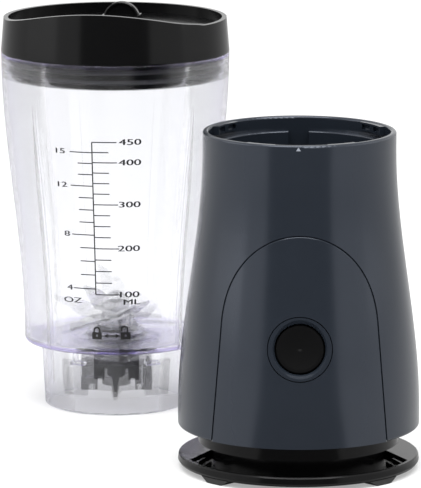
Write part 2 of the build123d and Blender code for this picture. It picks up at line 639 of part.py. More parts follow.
def bent_blade(low, rise, reach):
    """Two-armed blade: a flat middle with a hole, arms that rise to the tips, one edge ground."""
    flat, t = 9.0, BLADE_T
    side = Polyline((-reach, low + rise), (-flat, low), (flat, low), (reach, low + rise),
                    (reach, low + rise + t), (flat, low + t), (-flat, low + t), (-reach, low + rise + t),
                    close=True)
    bar = Pos(0, 10, 0) * extrude(Plane.XZ * make_face(side), 20)
    plan = Polyline((flat, 6.2), (reach - 1, 2.6), (reach - 5, -3.8), (flat, -6.2), (-flat, -6.2),
                    (-reach + 1, -2.6), (-reach + 5, 3.8), (-flat, 6.2), close=True)
    blade = bar & extrude(make_face(plan), 80)
    slope = degrees(atan(rise / (reach - flat)))
    grind = Rot(0, -slope, 0) * Rot(28, 0, 0) * Box(2 * reach, 6, 4)
    edge = Pos((reach + flat) / 2, 6.4, low + rise / 2 + 2.1) * Rot(0, 0, -12) * grind
    return blade - (edge + turn(edge, 180)) - rod(PIN_R, low - 1, low + 5)


def lower_blade():
    return standing(turn(bent_blade(BLADE_LOW, -3.4, 27), 35))


def upper_blade():
    return standing(turn(bent_blade(BLADE_HIGH, 7.5, 24), 125))


def blade_washers():
    first = tube(6.5, PIN_R, JAR_FLOOR + 4.5, BLADE_LOW)
    second = tube(6.5, PIN_R, BLADE_LOW + BLADE_T, BLADE_HIGH)
    return standing(first + second)


def blade_nut():
    """Domed cap nut on top of the blade shaft."""
    low = BLADE_HIGH + BLADE_T
    nut = extrude(Pos(0, 0, low) * RegularPolygon(5.8, 6), 4.5)
    dome = Pos(0, 0, low + 3.3) * Sphere(4.7) & rod(6, low + 4, low + 10)
    return standing(nut + dome - rod(PIN_R, low - 1, 47.5))


def jar_coupling():
    """Coupling under the jar: a scooped top disc and four vanes that hang down."""
    disc_low = COUPLING_TOP - 2.2
    vane = wedge(disc_low, COUPLING_LOW, 3.6, 0.7, 4, COUPLING_R)
    vane -= rod(8.5, COUPLING_LOW - 1, 10.5)
    body = tube(COUPLING_R, PIN_R, disc_low, COUPLING_TOP) + tube(6.4, PIN_R, 9, disc_low)
    scoop = Pos(15.5, 0, COUPLING_TOP + 3.4) * Sphere(6.2)
    body += all_round(vane, 4) + rod(6.4, 8, 9)
    return standing(body - all_round(scoop, 4, 45))


# ---- Lid ------------------------------------------------------------------------------------

def lid_radius(height):
    """Outer radius of the tapered lid wall."""
    return JAR_R - (height - LID_LOW) * (JAR_R - LID_TOP_R) / (LID_TOP - LID_LOW)


def capped(part):
    """Moves a part from the lid's own frame, lip towards -Y, onto the standing jar."""
    return standing(turn(part, LID_TURN))


def above_lip():
    """Everything above the lid's upper edge, which rises in one smooth wave at the front."""
    middle_r = LID_TOP_R - 1
    wave = []
    for step in range(-6, 7):
        angle = LIP_HALF * step / 6
        height = LID_TOP + LIP_RISE * cos(radians(90 * step / 6)) ** 2
        wave.append((middle_r * sin(radians(angle)), height))
    far = [(wave[-1][0], LID_TOP), (60, LID_TOP), (60, 200), (-60, 200), (-60, LID_TOP), wave[0]]
    crest = Spline(*wave, tangents=((1, 0), (1, 0)))
    face = make_face(crest.edges() + Polyline(*far).edges())
    return extrude(Plane.XZ * face, 60) + block(-60, 60, -0.5, 60, LID_TOP, 200)


def lid_shell():
    """Lid: tapered wall with a raised lip, recessed deck, plug collar, sip hole and hinge ears."""
    high = LID_TOP + LIP_RISE + 1
    top_r, low_r = lid_radius(high), JAR_R
    lid = turned((low_r, LID_LOW), (low_r, LID_LOW + 0.6), (top_r, high), (top_r - LID_WALL, high),
                 (lid_radius(DECK_TOP) - LID_WALL, DECK_TOP), (0, DECK_TOP), (0, DECK_LOW),
                 (PLUG_R - 2, DECK_LOW), (PLUG_R - 2, PLUG_LOW), (PLUG_R, PLUG_LOW), (PLUG_R, LID_LOW))
    lid -= above_lip()
    for height in GASKET_Z:
        lid -= tube(PLUG_R + 1, PLUG_R - 1, height, height + 1.8)
    lid -= Pos(0, SIP_Y, DECK_LOW) * Cylinder(4.9, 12)
    lid -= rod(1.2, DECK_LOW - 1, DECK_TOP + 1, 0, 34)
    ear = block(EAR_IN, EAR_OUT, HINGE_Y - 2, HINGE_Y + 2, DECK_TOP - 0.5, HINGE_Z)
    ear += across(2.0, EAR_IN, EAR_OUT)
    lid += mirrored(ear)
    return capped(lid - across(1.0, -EAR_OUT - 1, EAR_OUT + 1))


def across(radius, x0, x1):
    """Cylinder along X on the hinge line of the flap."""
    return Pos((x0 + x1) / 2, HINGE_Y, HINGE_Z) * Rot(0, 90, 0) * Cylinder(radius, x1 - x0)


def lid_gaskets():
    """Two soft rings in the grooves of the plug collar."""
    rings = Part()
    for height in GASKET_Z:
        rings += turned((PLUG_R - 1, height), (PLUG_R, height), (47.5, height + 0.9),
                        (PLUG_R, height + 1.8), (PLUG_R - 1, height + 1.8))
    return capped(rings)


def sip_flap():
    """Lever over the sip hole: a plate from the hinge to the lip with a half-disc finger tab."""
    low, top = DECK_TOP + 1.1, DECK_TOP + 3.2
    neck = HINGE_Y - 3.4
    plan = Polyline((KNUCKLE, HINGE_Y), (KNUCKLE, neck), (8.2, neck - 2), (8.5, SIP_Y + 4),
                    (-8.5, SIP_Y + 4), (-8.2, neck - 2), (-KNUCKLE, neck), (-KNUCKLE, HINGE_Y),
                    close=True)
    plate = Pos(0, 0, low) * extrude(make_face(plan), top - low)
    plate += rod(8.5, low, top, 0, SIP_Y + 4)
    plate += across(2.0, -KNUCKLE, KNUCKLE)
    middle = Pos(0, FIN_Y, top - FIN_SINK) * Rot(90, 0, 0)
    fin = middle * chamfer(Cylinder(FIN_R, 3.4).edges(), 0.5)
    face = middle * Cylinder(FIN_R - 1.1, 1.2)
    fin -= Pos(0, -1.7, 0) * face + Pos(0, 1.7, 0) * face
    plate += fin & block(-10, 10, 0, 40, top - 0.5, 190)
    return capped(plate - across(1.0, -EAR_OUT, EAR_OUT))


def sip_stopper():
    """Soft plug under the flap that closes the sip hole."""
    low = DECK_TOP + 1.1
    plug = turned((0, DECK_LOW), (3.9, DECK_LOW), (4.4, DECK_LOW + 1), (4.4, low), (0, low))
    return capped(Pos(0, SIP_Y, 0) * plug)


def flap_pin():
    return capped(across(1.0, -EAR_OUT, EAR_OUT))


# ---- Writing the parts ------------------------------------------------------------------------

NODES = (motor_housing, front_panel, cup_well, base_plate, rubber_feet, base_screws, cord_grommet,
         button_bezel, button_cap, button_spring, switch_holder, power_switch, switch_plunger,
         interlock_pin, interlock_spring, interlock_switch, stator_core, field_coils, lower_bracket,
         upper_bracket, lower_bush, upper_bush, shaft_seal, brush_holders, carbon_brushes,
         brush_springs, motor_screws, mount_screws, motor_mounts, circuit_board, board_parts,
         motor_shaft, armature_core, armature_winding, commutator, cooling_fan, drive_coupling,
         jar_vessel, bearing_housing, blade_bushes, floor_seal, floor_nut, blade_shaft, lower_blade,
         upper_blade, blade_washers, blade_nut, jar_coupling, lid_shell, lid_gaskets, sip_flap,
         sip_stopper, flap_pin)

os.makedirs("parts", exist_ok=True)
for make in NODES:
    node = make()
    node.label = make.__name__
    export_step(node, f"parts/{make.__name__}.step")
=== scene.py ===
"""Personal blender: slate motor base, clear fluted jar and black sip lid."""

import json
import bmesh
import bpy
from math import cos, pi, radians, sin, tan
from mathutils import Matrix, Vector


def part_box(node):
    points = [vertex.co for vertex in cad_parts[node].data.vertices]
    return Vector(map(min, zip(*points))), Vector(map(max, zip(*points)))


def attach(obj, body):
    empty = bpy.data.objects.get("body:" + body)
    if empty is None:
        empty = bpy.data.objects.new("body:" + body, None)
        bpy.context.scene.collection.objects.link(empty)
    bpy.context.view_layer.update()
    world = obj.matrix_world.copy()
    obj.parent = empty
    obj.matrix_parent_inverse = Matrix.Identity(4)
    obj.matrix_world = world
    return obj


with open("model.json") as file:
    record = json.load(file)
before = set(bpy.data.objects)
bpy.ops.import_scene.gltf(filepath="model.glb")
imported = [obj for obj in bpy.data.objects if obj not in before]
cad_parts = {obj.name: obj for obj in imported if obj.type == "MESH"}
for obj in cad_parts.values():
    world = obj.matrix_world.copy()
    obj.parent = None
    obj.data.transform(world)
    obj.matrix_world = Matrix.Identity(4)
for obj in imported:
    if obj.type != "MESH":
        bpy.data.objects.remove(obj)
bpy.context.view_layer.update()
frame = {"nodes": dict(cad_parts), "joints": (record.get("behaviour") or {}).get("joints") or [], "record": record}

MM = 0.001


def joint(name):
    """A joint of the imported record."""
    return next(j for j in frame["joints"] if j["name"] == name)


# ---- Where the jar stands, and the shape of its wall --------------------------------------

JAR_AT = Vector(joint("blade_spin")["pos_m"][:2] + [0.0])
JAR_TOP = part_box("jar_vessel")[1].z
JAR_RIM = 50.3 * MM
SHOULDER_R = 40.6 * MM
JAR_FLOOR = 31.2 * MM
# The wall shows its edge colour above the first height, and between the other two.
RIM_BAND = JAR_TOP - 1.6 * MM
SHOULDER_BAND = (28.3 * MM, 31.0 * MM)


def jar_radius(height):
    """Outer radius of the jar's wall at a height above the table."""
    t = min(1.0, max(0.0, (height - JAR_FLOOR) / (JAR_TOP - JAR_FLOOR)))
    return SHOULDER_R + (JAR_RIM - SHOULDER_R) * t * t * (3 - 2 * t)


# ---- Node trees ---------------------------------------------------------------------------

class Wire:
    """What a node gives. Arithmetic on it adds Math nodes."""

    def __init__(self, maker, socket):
        self.maker, self.socket = maker, socket

    def math(self, operation, *terms):
        return self.maker.node("ShaderNodeMath", {"operation": operation}, dict(enumerate(terms)))

    def __add__(self, other):
        return self.math("ADD", self, other)

    def __radd__(self, other):
        return self.math("ADD", other, self)

    def __sub__(self, other):
        return self.math("SUBTRACT", self, other)

    def __rsub__(self, other):
        return self.math("SUBTRACT", other, self)

    def __mul__(self, other):
        return self.math("MULTIPLY", self, other)

    def __rmul__(self, other):
        return self.math("MULTIPLY", other, self)

    def __truediv__(self, other):
        return self.math("DIVIDE", self, other)

    def __rtruediv__(self, other):
        return self.math("DIVIDE", other, self)

    def __pow__(self, other):
        return self.math("POWER", self, other)

    def __lt__(self, other):
        return self.math("LESS_THAN", self, other)

    def __gt__(self, other):
        return self.math("GREATER_THAN", self, other)

    def sine(self):
        return self.math("SINE", self)

    def cosine(self):
        return self.math("COSINE", self)

    def rounded(self):
        return self.math("ROUND", self)

    def size(self):
        return self.math("ABSOLUTE", self)

    def within(self, low=0.0, high=1.0):
        return self.math("MINIMUM", self.math("MAXIMUM", self, low), high)


class Maker:
    """Adds nodes to one tree."""

    def __init__(self, tree):
        self.tree = tree
        tree.nodes.clear()

    def node(self, kind, settings, sockets, out=0):
        """A node of this kind: its settings first, then the values or links of its sockets."""
        made = self.tree.nodes.new(kind)
        for name, value in settings.items():
            setattr(made, name, value)
        for key, value in sockets.items():
            if isinstance(value, Wire):
                self.tree.links.new(value.socket, made.inputs[key])
            else:
                made.inputs[key].default_value = value
        return Wire(self, made.outputs[out]) if made.outputs else None

    def place(self):
        """The point on the piece, in its own coordinates."""
        return self.node("ShaderNodeTexCoord", {}, {}, "Object")

    def noise(self, scale, detail=2.0, rough=0.5, at=None):
        """Noise around 0.5, with features of 1 / scale metres."""
        return self.node("ShaderNodeTexNoise", {}, {
            "Vector": at or self.place(), "Scale": scale, "Detail": detail, "Roughness": rough})

    def split(self, vector):
        """The three numbers of a vector."""
        return [self.node("ShaderNodeSeparateXYZ", {}, {0: vector}, i) for i in range(3)]

    def joined(self, x, y, z):
        return self.node("ShaderNodeCombineXYZ", {}, {0: x, 1: y, 2: z})

    def stretched(self, x, y, z):
        """The point with each of its numbers multiplied, for a pattern that is long one way."""
        return self.node("ShaderNodeMapping", {}, {"Vector": self.place(), "Scale": (x, y, z)})

    def blend(self, share, first, second):
        """Colour between two colours."""
        return self.node("ShaderNodeMix", {"data_type": "RGBA"}, {0: share, 6: first, 7: second}, 2)

    def bump(self, height, depth, under=None):
        """Surface relief, depth in metres."""
        sockets = {"Height": height, "Strength": 1.0, "Distance": depth}
        if under:
            sockets["Normal"] = under
        return self.node("ShaderNodeBump", {}, sockets)


def finish(name, build):
    """A material whose Principled sockets are what build(maker) returns."""
    material = bpy.data.materials.new(name)
    material.use_nodes = True
    maker = Maker(material.node_tree)
    surface = maker.node("ShaderNodeBsdfPrincipled", {}, build(maker))
    maker.node("ShaderNodeOutputMaterial", {}, {"Surface": surface})
    return material


def opaque(colour):
    return (*colour, 1.0)


def tinted(colour, gain):
    return opaque([c * gain for c in colour])


# ---- Finishes -----------------------------------------------------------------------------

def moulded(name, colour, gloss, level=0.5, grain=0.0, smudge=0.05, sheen=(1.0, 1.0, 1.0)):
    """Moulded plastic: slow waves of the surface, fine grain, and a faint uneven polish."""
    def build(m):
        polish = m.noise(38, 3.0)
        shade = m.noise(90, 2.0)
        waves = m.bump(m.noise(160, 1.0), 0.000004)
        relief = m.bump(m.noise(5200, 2.0), grain, waves) if grain else waves
        return {
            "Base Color": m.blend(shade, tinted(colour, 0.93), tinted(colour, 1.07)),
            "Roughness": (gloss + (polish - 0.5) * smudge).within(0.02, 1.0),
            "Normal": relief,
            "Specular IOR Level": level,
            "Specular Tint": opaque(sheen),
        }
    return finish(name, build)


def rubber(name, colour):
    """Soft rubber with a fine stipple and pale dust."""
    def build(m):
        stipple = m.noise(3800, 3.0)
        dust = (m.noise(140, 4.0) - 0.55).within() * 0.8
        return {
            "Base Color": m.blend(dust, opaque(colour), tinted(colour, 2.6)),
            "Roughness": (0.62 + (stipple - 0.5) * 0.3).within(0.3, 1.0),
            "Normal": m.bump(stipple, 0.00002),
        }
    return finish(name, build)


def silicone(name, colour):
    """Translucent silicone: soft, milky, with slightly cloudy colour."""
    def build(m):
        cloud = m.noise(210, 3.0)
        return {
            "Base Color": m.blend(cloud, tinted(colour, 0.8), tinted(colour, 1.1)),
            "Roughness": (0.4 + (cloud - 0.5) * 0.2).within(),
            "Transmission Weight": 0.2,
            "Normal": m.bump(m.noise(1400, 2.0), 0.000006),
        }
    return finish(name, build)


def turned_metal(name, colour, rough, pitch=9000.0, depth=0.0000012):
    """Turned or drawn metal: fine rings across Z, and a broken polish."""
    def build(m):
        lines = m.noise(1.0, 2.0, 0.6, m.stretched(420, 420, pitch))
        stain = m.noise(120, 4.0)
        return {
            "Base Color": m.blend(stain, tinted(colour, 0.84), tinted(colour, 1.06)),
            "Metallic": 1.0,
            "Roughness": (rough + (lines - 0.5) * 0.22).within(0.05, 1.0),
            "Normal": m.bump(lines, depth),
        }
    return finish(name, build)


def ground_metal(name, colour, rough):
    """Blade steel: ground lines across the blade and a bright polish."""
    def build(m):
        lines = m.noise(1.0, 3.0, 0.7, m.stretched(5200, 700, 700))
        stain = m.noise(180, 3.0)
        return {
            "Base Color": m.blend(stain, tinted(colour, 0.9), tinted(colour, 1.05)),
            "Metallic": 1.0,
            "Roughness": (rough + (lines - 0.5) * 0.2).within(0.05, 1.0),
            "Normal": m.bump(lines, 0.0000015),
        }
    return finish(name, build)


def stacked_sheets(name, colour):
    """Edges of stacked electrical steel, half a millimetre each, with rust spots."""
    def build(m):
        height = m.split(m.place())[2]
        sheets = (height * (2 * pi / (0.5 * MM))).sine() * 0.5 + 0.5
        spots = (m.noise(260, 5.0) - 0.6).within() * 2.0
        return {
            "Base Color": m.blend(spots, opaque(colour), opaque((0.16, 0.07, 0.035))),
            "Metallic": (0.9 - spots).within(),
            "Roughness": (0.42 + sheets * 0.15).within(),
            "Normal": m.bump(sheets, 0.00004),
        }
    return finish(name, build)


def wound_wire(name, colour):
    """Enamelled copper wire, wound in layers of turns 0.45 mm apart, with painted shade in the grooves between
    turns.
    """
    def build(m):
        x, _, z = m.split(m.place())
        turns = ((x + z) * (2 * pi / (0.45 * MM))).sine() * 0.5 + 0.5
        varnish = m.noise(300, 3.0)
        return {
            # Darker where the turns dip: painted shade in the grooves between turns, mixed with the uneven varnish
            # tone.
            "Base Color": m.blend((varnish * 0.6 + turns * 0.4).within(), tinted(colour, 0.55),
                                  opaque(colour)),
            "Metallic": 0.85,
            "Roughness": (0.28 + varnish * 0.15).within(),
            "Normal": m.bump(turns, 0.00012),
        }
    return finish(name, build)


def lacquered_board(name, colour):
    """Lacquered board with paler tracks under the lacquer."""
    def build(m):
        x, y, _ = m.split(m.place())
        tracks = (((x * 2100).sine() * (y * 1500).sine()) > 0.35) * 0.8
        weave = m.noise(2600, 2.0)
        return {
            "Base Color": m.blend(tracks, tinted(colour, 0.75), tinted(colour, 1.9)),
            "Roughness": (0.26 + (weave - 0.5) * 0.2).within(),
            "Normal": m.bump(tracks + weave * 0.3, 0.00002),
        }
    return finish(name, build)


def pressed_powder(name, colour, metal, rough):
    """Sintered or pressed powder: open pores painted darker as their shade, and a dull glint."""
    def build(m):
        pores = (m.noise(2400, 3.0) - 0.5).within() * 2.0
        return {
            # Painted shade: the colour is halved in the open pores.
            "Base Color": m.blend(pores, opaque(colour), tinted(colour, 0.5)),
            "Metallic": metal,
            "Roughness": (rough + pores * 0.3).within(),
            "Normal": m.bump(pores, 0.00001),
        }
    return finish(name, build)


def clear_moulding(name):
    """Clear copolyester: it dims what is behind it, bends light most where it is seen edge on,
    and shows violet there, at its rim and round the corner of its shoulder."""
    material = bpy.data.materials.new(name)
    material.use_nodes = True
    m = Maker(material.node_tree)
    height = m.split(m.place())[2]
    corner = (height > RIM_BAND) + (height > SHOULDER_BAND[0]) * (height < SHOULDER_BAND[1])
    edge = m.node("ShaderNodeLayerWeight", {}, {"Blend": 0.4}, "Facing")
    flow = m.noise(1.0, 2.0, 0.5, m.stretched(60, 60, 22))
    handled = (m.noise(75, 4.0) - 0.55).within() * 0.12
    bending = m.node("ShaderNodeBsdfPrincipled", {}, {
        "Base Color": m.blend(((edge ** 2.0) * 0.7 + corner * 0.95).within(),
                              opaque((0.94, 0.943, 0.957)), opaque((0.48, 0.41, 0.82))),
        "Roughness": (0.015 + handled).within(),
        "IOR": 1.5,
        "Transmission Weight": 1.0,
        "Normal": m.bump(flow, 0.00002),
    })
    straight = m.node("ShaderNodeBsdfTransparent", {}, {"Color": opaque((0.955, 0.957, 0.967))})
    share = (0.5 + (edge ** 2.0) * 0.4 + corner * 0.3).within()
    mixed = m.node("ShaderNodeMixShader", {}, {0: share, 1: straight, 2: bending})
    m.node("ShaderNodeOutputMaterial", {}, {"Surface": mixed})
    return material


def printed_ink(name, colour):
    """Screen-printed ink: thin, slightly uneven at its surface."""
    def build(m):
        screen = m.noise(4200, 2.0)
        return {
            "Base Color": m.blend(screen, tinted(colour, 0.85), tinted(colour, 1.15)),
            "Roughness": (0.42 + (screen - 0.5) * 0.3).within(),
            "Normal": m.bump(screen, 0.000004),
        }
    return finish(name, build)


SLATE, SLATE_SHEEN = (0.0112, 0.0145, 0.0202), (0.82, 0.87, 1.0)

FINISHES = {
    "slate_plastic": moulded("slate_gloss", SLATE, 0.2, 0.56, smudge=0.03, sheen=SLATE_SHEEN),
    "black_plastic": moulded("foot_black", (0.0026, 0.0026, 0.0028), 0.17, 0.17),
    "button_black": moulded("button_satin", (0.0028, 0.0028, 0.003), 0.4, 0.12, grain=0.000002),
    "lid_black": moulded("lid_semi_gloss", (0.0026, 0.0026, 0.0028), 0.17, 0.22, smudge=0.05),
    "black_rubber": rubber("soft_rubber", (0.014, 0.014, 0.014)),
    "clear_silicone": silicone("gasket_silicone", (0.1, 0.1, 0.106)),
    "zinc_steel": turned_metal("zinc_plate", (0.55, 0.56, 0.58), 0.34),
    "spring_steel": turned_metal("spring_wire", (0.42, 0.42, 0.44), 0.28),
    "stainless_steel": turned_metal("turned_stainless", (0.6, 0.6, 0.61), 0.24),
    "blade_steel": ground_metal("ground_stainless", (0.66, 0.66, 0.67), 0.17),
    "inner_plastic": moulded("inner_matt", (0.03, 0.03, 0.033), 0.5, grain=0.00001),
    "switch_plastic": moulded("switch_matt", (0.018, 0.018, 0.02), 0.45, grain=0.000006),
    "plunger_red": moulded("plunger_red", (0.36, 0.02, 0.015), 0.35, grain=0.000004),
    "lamination_steel": stacked_sheets("sheet_stack", (0.2, 0.2, 0.21)),
    "copper_wire": wound_wire("wound_copper", (0.62, 0.22, 0.09)),
    "copper_bar": turned_metal("commutator_copper", (0.72, 0.33, 0.19), 0.22),
    "bronze": pressed_powder("sintered_bronze", (0.5, 0.33, 0.14), 0.9, 0.35),
    "carbon": pressed_powder("brush_carbon", (0.02, 0.02, 0.022), 0.1, 0.5),
    "board_green": lacquered_board("green_lacquer", (0.02, 0.12, 0.05)),
    "coupling_black": moulded("coupling_matt", (0.012, 0.012, 0.013), 0.4, grain=0.000005),
    "coupling_grey": moulded("coupling_dark", (0.03, 0.031, 0.034), 0.33, grain=0.000004),
    "clear_jar": clear_moulding("clear_copolyester"),
}

SLOT_OF = {part["node"]: part["material_slot"] for part in frame["record"]["subparts"]}
for node_name, thing in frame["nodes"].items():
    for material_slot in thing.material_slots:
        material_slot.material = FINISHES[SLOT_OF[node_name]]


# ---- Pieces -------------------------------------------------------------------------------

def add_piece(name, mesh, body, material):
    """A finished piece at the origin that rides on a body."""
    piece = bpy.data.objects.new(name, mesh)
    bpy.context.scene.collection.objects.link(piece)
    mesh.materials.clear()
    mesh.materials.append(material)
    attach(piece, body)


def outline_mesh(name, outlines, thickness):
    """Flat closed solid from outlines in the XY plane; an outline inside another is a hole."""
    curve = bpy.data.curves.new(name, "CURVE")
    curve.dimensions, curve.fill_mode, curve.extrude = "2D", "BOTH", thickness / 2
    for outline in outlines:
        spline = curve.splines.new("POLY")
        spline.points.add(len(outline) - 1)
        for point, (x, y) in zip(spline.points, outline):
            point.co = (x, y, 0, 1)
        spline.use_cyclic_u = True
    return mesh_of(name, curve)


def text_mesh(name, words, size, stretch, thickness):
    """Words as a flat closed solid, centred on the origin."""
    curve = bpy.data.curves.new(name, "FONT")
    curve.body, curve.size, curve.extrude = words, size, thickness / 2
    curve.align_x, curve.align_y = "CENTER", "CENTER"
    curve.resolution_u = 6
    mesh = mesh_of(name, curve)
    mesh.transform(Matrix.Diagonal((stretch, 1, 1, 1)))
    return mesh


def mesh_of(name, data):
    """Plain mesh of a curve or text, with its curve removed."""
    holder = bpy.data.objects.new(name, data)
    bpy.context.scene.collection.objects.link(holder)
    bpy.context.view_layer.update()
    evaluated = holder.evaluated_get(bpy.context.evaluated_depsgraph_get())
    mesh = bpy.data.meshes.new_from_object(evaluated)
    bpy.data.objects.remove(holder)
    return mesh


def merged_mesh(name, meshes):
    """Several meshes as one, with doubles merged and normals outward."""
    shape = bmesh.new()
    for mesh in meshes:
        shape.from_mesh(mesh)
    bmesh.ops.remove_doubles(shape, verts=shape.verts, dist=1e-7)
    bmesh.ops.recalc_face_normals(shape, faces=shape.faces)
    result = bpy.data.meshes.new(name)
    shape.to_mesh(result)
    shape.free()
    return result


def on_jar(mesh, bearing, height, lift):
    """Wraps a flat mesh round the jar: X along the wall from a bearing, Y up from a height."""
    for vertex in mesh.vertices:
        x, y, z = vertex.co
        level = height + y
        reach = jar_radius(level) + lift + z
        angle = radians(bearing) + x / jar_radius(height)
        vertex.co = JAR_AT + Vector((reach * cos(angle), reach * sin(angle), level))
    return mesh


# ---- Scale printed on the jar -------------------------------------------------------------

INK, INK_LIFT = 0.05 * MM, 0.05 * MM        # thickness of the print, and its height off the wall
SCALE_BEARING = -100.6                      # of the upright line, in degrees
LINE, UPRIGHT = 0.46 * MM, 0.54 * MM        # widths of the ticks and of the upright line
ML_TICKS = (10.8 * MM, 7.2 * MM)            # long and short ticks, to the right
OZ_TICKS = (-10.2 * MM, -6.6 * MM)          # and to the left
LETTER_STRETCH, LETTER_WEIGHT = 1.8, 0.14
SYMBOLS_AT = 38.6 * MM
ML_FIT = (34.36 * MM, 0.2220 * MM, -0.0000479 * MM)     # height of a mark, from its millilitres
OZ_FIT = (32.08 * MM, 6.921 * MM, -0.0710 * MM)         # height of a mark, from its ounces


def mark_height(fit, amount):
    return fit[0] + fit[1] * amount + fit[2] * amount ** 2


def tick_tree():
    """Ticks of one scale: a box for each mark, laid round the jar at the mark's height."""
    tree = bpy.data.node_groups.new("scale_ticks", "GeometryNodeTree")
    tree.interface.new_socket("Geometry", in_out="OUTPUT", socket_type="NodeSocketGeometry")
    inputs = {}
    for name, kind in (("First amount", "Float"), ("Step", "Float"), ("Count", "Int"),
                       ("Long every", "Int"), ("Long length", "Float"), ("Short length", "Float"),
                       ("Fit base", "Float"), ("Fit slope", "Float"), ("Fit bend", "Float")):
        socket = tree.interface.new_socket(name, in_out="INPUT", socket_type="NodeSocket" + kind)
        inputs[name] = socket.identifier
    m = Maker(tree)
    given = {name: m.node("NodeGroupInput", {}, {}, name) for name in inputs}
    line = m.node("GeometryNodeMeshLine", {}, {"Count": given["Count"], "Offset": (0, 0, 1)})
    box = m.node("GeometryNodeMeshCube", {}, {"Size": (1, 1, 1), "Vertices X": 9})
    box = m.node("GeometryNodeTransform", {}, {"Geometry": box, "Translation": (0.5, 0, 0),
                                               "Scale": (1, 1, 0.5)})
    ticks = m.node("GeometryNodeInstanceOnPoints", {}, {"Points": line, "Instance": box})
    ticks = m.node("GeometryNodeRealizeInstances", {}, {"Geometry": ticks})
    x, y, z = m.split(m.node("GeometryNodeInputPosition", {}, {}))
    index = z.rounded()
    depth = z - index
    amount = given["First amount"] + index * given["Step"]
    level = given["Fit base"] + amount * given["Fit slope"] + amount * amount * given["Fit bend"]
    level = level + y * LINE
    phase = index / given["Long every"]
    is_long = (phase - phase.rounded()).size() < 0.01
    length = given["Short length"] + is_long * (given["Long length"] - given["Short length"])
    share = ((level - JAR_FLOOR) / (JAR_TOP - JAR_FLOOR)).within()
    wall = SHOULDER_R + share * share * (3 - 2 * share) * (JAR_RIM - SHOULDER_R)
    angle = radians(SCALE_BEARING) + x * length / wall
    reach = wall + INK_LIFT + depth * (2 * INK)
    where = m.joined(angle.cosine() * reach + JAR_AT.x, angle.sine() * reach + JAR_AT.y, level)
    ticks = m.node("GeometryNodeSetPosition", {}, {"Geometry": ticks, "Position": where})
    ticks = m.node("GeometryNodeSetMaterial", {}, {"Geometry": ticks, "Material": INK_BLACK})
    m.node("NodeGroupOutput", {}, {0: ticks})
    return tree, inputs


def grown(tree, inputs, values):
    """Plain mesh that a tree of geometry nodes gives for these values."""
    name = "grown_" + tree.name
    holder = bpy.data.objects.new(name, bpy.data.meshes.new(name))
    bpy.context.scene.collection.objects.link(holder)
    modifier = holder.modifiers.new(name, "NODES")
    modifier.node_group = tree
    for key, value in values.items():
        modifier[inputs[key]] = value
    bpy.context.view_layer.update()
    evaluated = holder.evaluated_get(bpy.context.evaluated_depsgraph_get())
    mesh = bpy.data.meshes.new_from_object(evaluated)
    holder.modifiers.remove(modifier)
    bpy.data.objects.remove(holder)
    return mesh


def upright_line(bearing, low, high, width):
    """Thin upright line that follows the wall of the jar."""
    steps = 24
    levels = [low + (high - low) * i / steps for i in range(steps + 1)]
    outline = [(-width / 2, y) for y in levels] + [(width / 2, y) for y in reversed(levels)]
    shape = bmesh.new()
    rings = []
    for x, y in outline:
        angle = radians(bearing) + x / jar_radius(y)
        reaches = [jar_radius(y) + INK_LIFT + side * INK / 2 for side in (-1, 1)]
        rings.append([shape.verts.new(JAR_AT + Vector((reach * cos(angle), reach * sin(angle), y)))
                      for reach in reaches])
    count = len(rings)
    for i in range(count):
        a, b = rings[i], rings[(i + 1) % count]
        shape.faces.new((a[0], b[0], b[1], a[1]))
    for i in range(steps):
        left, left_up = rings[i], rings[i + 1]
        right, right_up = rings[count - 1 - i], rings[count - 2 - i]
        shape.faces.new((left[1], right[1], right_up[1], left_up[1]))
        shape.faces.new((left[0], left_up[0], right_up[0], right[0]))
    mesh = bpy.data.meshes.new("scale_line")
    shape.to_mesh(mesh)
    shape.free()
    return mesh


def arc(x, y, radius, start, stop, steps=14):
    """Points along an arc, angles in degrees."""
    angles = [radians(start + (stop - start) * i / steps) for i in range(steps + 1)]
    return [(x + radius * cos(a), y + radius * sin(a)) for a in angles]


def padlock(is_open):
    """Outlines of a small padlock, in millimetres: body with a keyhole, and its shackle."""
    body = [(-2.1, -2.6), (2.1, -2.6), (2.1, 0.6), (-2.1, 0.6)]
    keyhole = arc(0, -0.9, 0.5, 0, 360, 12)[:-1]
    middle, free_end, rise = (-0.5, 1.4, 2.1) if is_open else (0.0, 0.6, 1.5)
    outer = [(middle + 1.6, 0.6)] + arc(middle, rise, 1.6, 0, 180) + [(middle - 1.6, free_end)]
    inner = [(middle - 0.85, free_end)] + arc(middle, rise, 0.85, 180, 0) + [(middle + 0.85, 0.6)]
    return [body, keyhole, outer + inner]


def double_arrow():
    """Outline of an arrow with a head at each end, in millimetres."""
    shaft, barb, neck, tip, drop = 0.28, 1.1, 1.7, 3.1, 0.9
    right = [(0.0, shaft), (neck, shaft), (neck, barb), (tip, 0.0), (neck, -barb), (neck, -shaft),
             (0.0, -shaft)]
    left = [(-x, y) for x, y in reversed(right)]
    return [[(x, y - drop) for x, y in right + left[1:-1]]]


def in_metres(outlines):
    return [[(x * MM, y * MM) for x, y in outline] for outline in outlines]


INK_BLACK = printed_ink("scale_ink", (0.008, 0.008, 0.009))
INK_GREY = printed_ink("mark_ink", (0.24, 0.26, 0.3))

